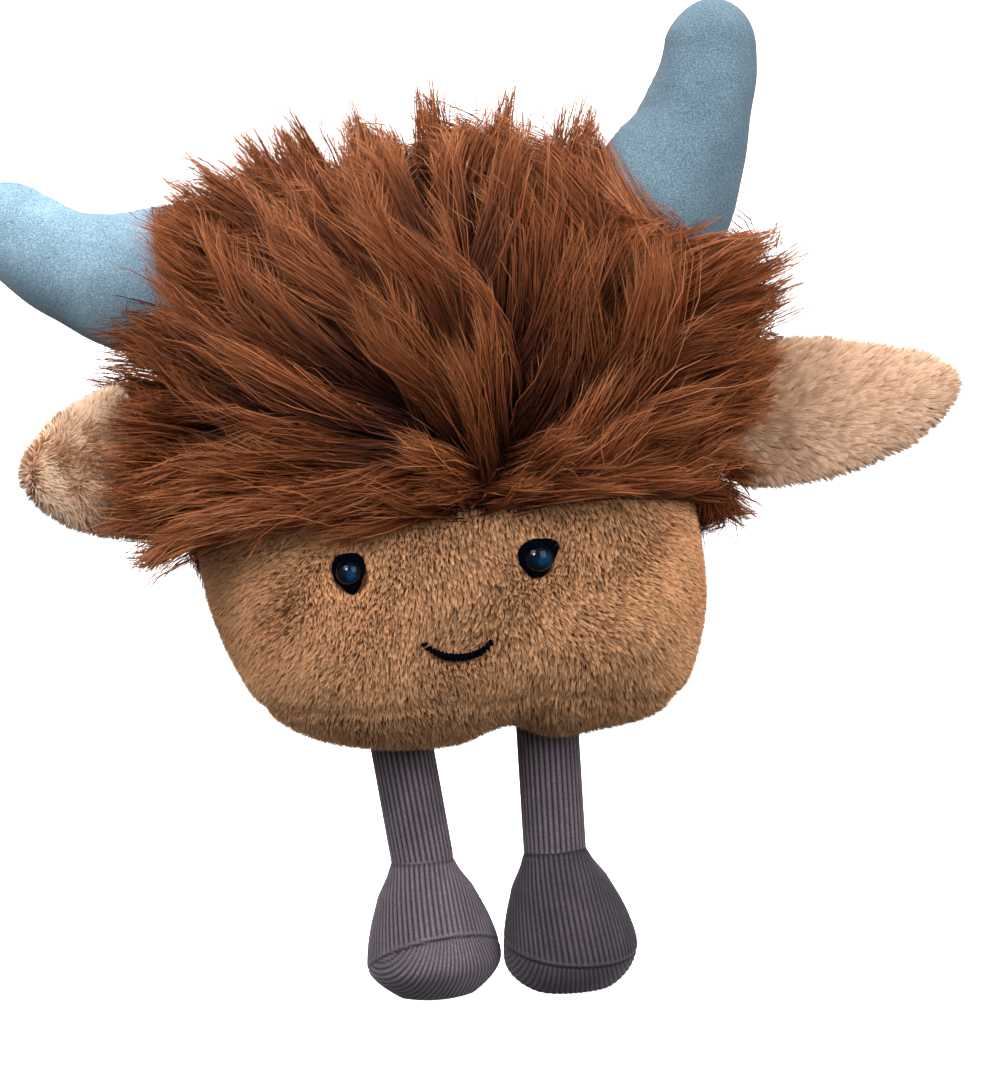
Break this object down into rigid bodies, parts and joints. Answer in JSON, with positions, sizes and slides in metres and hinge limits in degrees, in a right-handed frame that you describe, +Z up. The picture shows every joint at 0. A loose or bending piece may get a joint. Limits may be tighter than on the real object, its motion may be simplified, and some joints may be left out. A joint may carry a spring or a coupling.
{
  "type": "plush highland cow",
  "caption": "Stuffed highland cow: pillow-shaped plush body with a fur crown, two suede horns, two ears, bead eyes and corduroy legs with bell-shaped feet.",
  "frame": {"origin": "middle of the toy's bounding box, on the floor plane that the soles stand on", "axes": "+Z up, face towards -Y, the toy's own left side towards +X"},
  "size_m": [0.2758, 0.1348, 0.2729],
  "materials": {
    "plush": "matte",
    "ear_plush": "matte",
    "fur": "matte",
    "suede": "matte",
    "corduroy": "matte",
    "fill": "matte",
    "thread": "satin",
    "eye": "gloss",
    "washer": "matte"
  },
  "bodies": {
    "torso": {"body_stuffing": "fill", "face_panel": "plush", "back_panel": "plush", "base_panel": "plush", "fur_cap_left": "fur", "fur_cap_right": "fur", "left_eye_bead": "eye", "right_eye_bead": "eye", "left_eye_washer": "washer", "right_eye_washer": "washer", "left_eye_stitching": "thread", "right_eye_stitching": "thread", "mouth_stitching": "thread"},
    "left_horn": {"left_horn_front": "suede", "left_horn_back": "suede", "left_horn_stuffing": "fill"},
    "right_horn": {"right_horn_front": "suede", "right_horn_back": "suede", "right_horn_stuffing": "fill"},
    "left_ear": {"left_ear_front": "ear_plush", "left_ear_back": "plush"},
    "right_ear": {"right_ear_front": "ear_plush", "right_ear_back": "plush"},
    "left_leg": {"left_leg_tube": "corduroy", "left_leg_stuffing": "fill"},
    "right_leg": {"right_leg_tube": "corduroy", "right_leg_stuffing": "fill"},
    "left_foot": {"left_foot_upper": "corduroy", "left_foot_stuffing": "fill", "left_sole": "corduroy"},
    "right_foot": {"right_foot_upper": "corduroy", "right_foot_stuffing": "fill", "right_sole": "corduroy"}
  },
  "joints": [
    {"name": "left_hip", "type": "hinge", "parent": "torso", "child": "left_leg", "pos_m": [0.014, 0, 0.06346], "axis": [1, 0, 0], "range_deg": [-80, 35]},
    {"name": "right_hip", "type": "hinge", "parent": "torso", "child": "right_leg", "pos_m": [-0.0259, 0, 0.06162], "axis": [1, 0, 0], "range_deg": [-80, 35]},
    {"name": "left_ankle", "type": "hinge", "parent": "left_leg", "child": "left_foot", "pos_m": [0.0136, 0, 0.04], "axis": [1, 0, 0], "range_deg": [-10, 20]},
    {"name": "right_ankle", "type": "hinge", "parent": "right_leg", "child": "right_foot", "pos_m": [-0.0237, 0, 0.04], "axis": [1, 0, 0], "range_deg": [-10, 20]},
    {"name": "left_ear_fold", "type": "hinge", "parent": "torso", "child": "left_ear", "pos_m": [0.06189, 0, 0.1554], "axis": [0, 0, 1], "range_deg": [-45, 20], "stiffness_Nm_per_rad": 0.02},
    {"name": "right_ear_fold", "type": "hinge", "parent": "torso", "child": "right_ear", "pos_m": [-0.07949, 0, 0.1554], "axis": [0, 0, 1], "range_deg": [-50, 5], "stiffness_Nm_per_rad": 0.02},
    {"name": "left_horn_bend", "type": "hinge", "parent": "torso", "child": "left_horn", "pos_m": [0.05418, 0, 0.21364], "axis": [0, 1, 0], "range_deg": [-8, 8], "stiffness_Nm_per_rad": 0.3},
    {"name": "right_horn_bend", "type": "hinge", "parent": "torso", "child": "right_horn", "pos_m": [-0.0798, 0, 0.20389], "axis": [0, 1, 0], "range_deg": [-8, 8], "stiffness_Nm_per_rad": 0.3}
  ]
}
